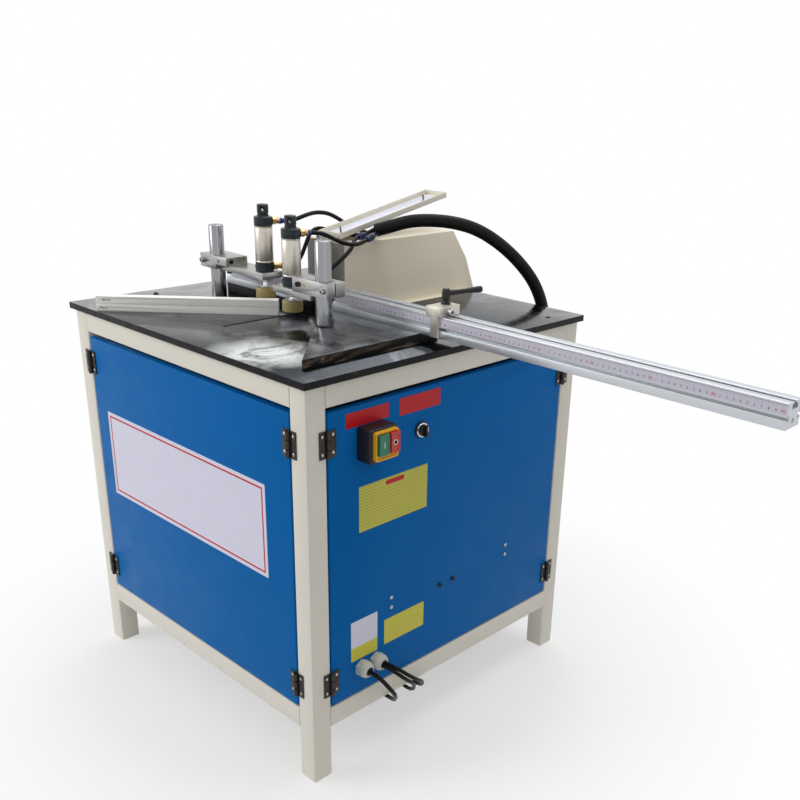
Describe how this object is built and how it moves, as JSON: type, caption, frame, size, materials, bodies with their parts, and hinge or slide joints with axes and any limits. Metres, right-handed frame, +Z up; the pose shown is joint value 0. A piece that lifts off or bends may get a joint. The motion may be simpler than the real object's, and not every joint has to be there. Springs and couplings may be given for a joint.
{
  "type": "pneumatic mitre saw",
  "caption": "Free-standing mitre saw for aluminium and frame profiles: cabinet with a slotted table, straight and 45 degree fences, air clamps, a length stop and a blade fed from below.",
  "frame": {"origin": "middle of the machine's own footprint on the floor, without the free mains cord", "axes": "+X along the straight fence towards the long end, +Y from the operator to the back, +Z up"},
  "size_m": [1.332, 0.7484, 0.958],
  "materials": {
    "cream_paint": "satin cream powder coat",
    "blue_paint": "gloss blue powder coat",
    "guard_paint": "satin beige paint",
    "table_steel": "ground plate, oily and worn",
    "raised_steel": "ground plate with dark edges",
    "fence_aluminium": "natural anodised extrusion",
    "angle_aluminium": "pale anodised bar",
    "post_steel": "ground steel",
    "bracket_aluminium": "sawn and milled blocks",
    "black_screw": "black oxide",
    "hinge_black": "black oxide leaves",
    "hinge_steel": "plated steel",
    "stop_steel": "milled block",
    "lever_plastic": "black moulded lever",
    "barrel_aluminium": "pale anodised tube",
    "cap_aluminium": "black anodised",
    "fitting_brass": "nickelled brass with a blue ring",
    "rod_chrome": "hard chrome",
    "pad_amber": "cast polyurethane",
    "switch_plastic": "black box with a yellow front",
    "green_plastic": "moulded",
    "red_plastic": "moulded",
    "bezel_chrome": "plated ring",
    "knob_plastic": "black with a pale mark",
    "gland_plastic": "light grey nylon",
    "guide_steel": "ground guide steel",
    "carriage_iron": "machined casting",
    "housing_iron": "bored casting",
    "blade_steel": "ground disc with carbide teeth",
    "arbor_steel": "turned steel",
    "motor_paint": "blue-grey paint",
    "pulley_iron": "turned casting",
    "belt_rubber": "reinforced belt",
    "feed_aluminium": "anodised barrel with dark caps",
    "control_plastic": "switchgear and valve housings",
    "tube_black": "black air tube",
    "connector_plastic": "push-in unions with blue rings",
    "hose_black": "ribbed black sleeve",
    "cord_black": "black cable sheath",
    "plug_black": "moulded plug"
  },
  "bodies": {
    "cabinet": {"frame_legs": "cream_paint", "frame_rails": "cream_paint", "table_plate": "table_steel", "table_screws": "black_screw", "raised_plates": "raised_steel", "fence_left": "fence_aluminium", "fence_right": "fence_aluminium", "angle_fence": "angle_aluminium", "clamp_posts": "post_steel", "guard_box": "guard_paint", "flap_hinge": "hinge_steel", "air_tubes_left": "tube_black", "air_tubes_right": "tube_black", "tube_connectors": "connector_plastic", "hose_sleeve": "hose_black", "frame_hinge_leaves": "hinge_black", "switch_panel": "blue_paint", "side_panels": "blue_paint", "switch_box": "switch_plastic", "selector_bezel": "bezel_chrome", "cable_glands": "gland_plastic", "mains_cord": "cord_black", "mains_coil": "cord_black", "mains_plug": "plug_black", "machine_cables": "cord_black", "slide_rails": "guide_steel", "feed_barrel": "feed_aluminium", "control_gear": "control_plastic"},
    "flap": {"guard_flap": "cream_paint"},
    "door": {"sign_door": "blue_paint", "door_hinge_leaves": "hinge_black"},
    "stop": {"stop_block": "stop_steel", "stop_screw": "black_screw"},
    "lever": {"stop_lever": "lever_plastic"},
    "clamp_left": {"clamp_bracket_left": "bracket_aluminium", "clamp_screws_left": "black_screw", "barrel_left": "barrel_aluminium", "caps_left": "cap_aluminium", "fittings_left": "fitting_brass"},
    "clamp_right": {"clamp_bracket_right": "bracket_aluminium", "clamp_screws_right": "black_screw", "barrel_right": "barrel_aluminium", "caps_right": "cap_aluminium", "fittings_right": "fitting_brass"},
    "plunger_left": {"rod_left": "rod_chrome", "pad_left": "pad_amber"},
    "plunger_right": {"rod_right": "rod_chrome", "pad_right": "pad_amber"},
    "green": {"green_button": "green_plastic"},
    "red": {"red_button": "red_plastic"},
    "selector": {"selector_knob": "knob_plastic"},
    "carriage": {"slide_blocks": "guide_steel", "carriage_plate": "carriage_iron", "spindle_housing": "housing_iron", "motor": "motor_paint", "drive_belt": "belt_rubber", "feed_rod": "rod_chrome"},
    "spindle": {"blade": "blade_steel", "arbor": "arbor_steel"},
    "rotor": {"motor_pulley": "pulley_iron"}
  },
  "joints": [
    {"name": "sign_door_hinge", "type": "hinge", "parent": "cabinet", "child": "door", "pos_m": [-0.6165, -0.37025, 0.418], "axis": [0, 0, -1], "range_deg": [0, 110]},
    {"name": "guard_flap_hinge", "type": "hinge", "parent": "cabinet", "child": "flap", "pos_m": [-0.313, -0.01325, 0.8882], "axis": [1, 0, 0], "range_deg": [0, 160]},
    {"name": "clamp_left_height", "type": "slide", "parent": "cabinet", "child": "clamp_left", "axis": [0, 0, 1], "range_m": [0, 0.05], "deforming": ["air_tubes_left"]},
    {"name": "clamp_right_height", "type": "slide", "parent": "cabinet", "child": "clamp_right", "axis": [0, 0, 1], "range_m": [0, 0.05], "deforming": ["air_tubes_right"]},
    {"name": "clamp_left_stroke", "type": "slide", "parent": "clamp_left", "child": "plunger_left", "axis": [0, 0, -1], "range_m": [0, 0.023]},
    {"name": "clamp_right_stroke", "type": "slide", "parent": "clamp_right", "child": "plunger_right", "axis": [0, 0, -1], "range_m": [0, 0.023]},
    {"name": "stop_slide", "type": "slide", "parent": "cabinet", "child": "stop", "axis": [1, 0, 0], "range_m": [-0.15, 0.6]},
    {"name": "stop_lever_turn", "type": "hinge", "parent": "stop", "child": "lever", "pos_m": [0.035, -0.04875, 0.83], "axis": [0, 0, 1], "range_deg": [-60, 120]},
    {"name": "green_press", "type": "slide", "parent": "cabinet", "child": "green", "axis": [-1, 0, 0], "range_m": [0, 0.004], "stiffness_N_per_m": 800},
    {"name": "red_press", "type": "slide", "parent": "cabinet", "child": "red", "axis": [-1, 0, 0], "range_m": [0, 0.004], "stiffness_N_per_m": 800},
    {"name": "selector_turn", "type": "hinge", "parent": "cabinet", "child": "selector", "pos_m": [0.046, -0.11425, 0.616], "axis": [1, 0, 0], "range_deg": [-45, 45]},
    {"name": "saw_feed", "type": "slide", "parent": "cabinet", "child": "carriage", "axis": [0, -1, 0], "range_m": [0, 0.228]},
    {"name": "blade_spin", "type": "hinge", "parent": "carriage", "child": "spindle", "pos_m": [-0.313, 0.13575, 0.672], "axis": [1, 0, 0], "continuous": true},
    {"name": "motor_spin", "type": "hinge", "parent": "carriage", "child": "rotor", "pos_m": [-0.27, 0.13575, 0.438], "axis": [1, 0, 0], "continuous": true}
  ],
  "couplings": [
    {"joint": "motor_spin", "follows": "blade_spin", "ratio": 1.1765}
  ]
}
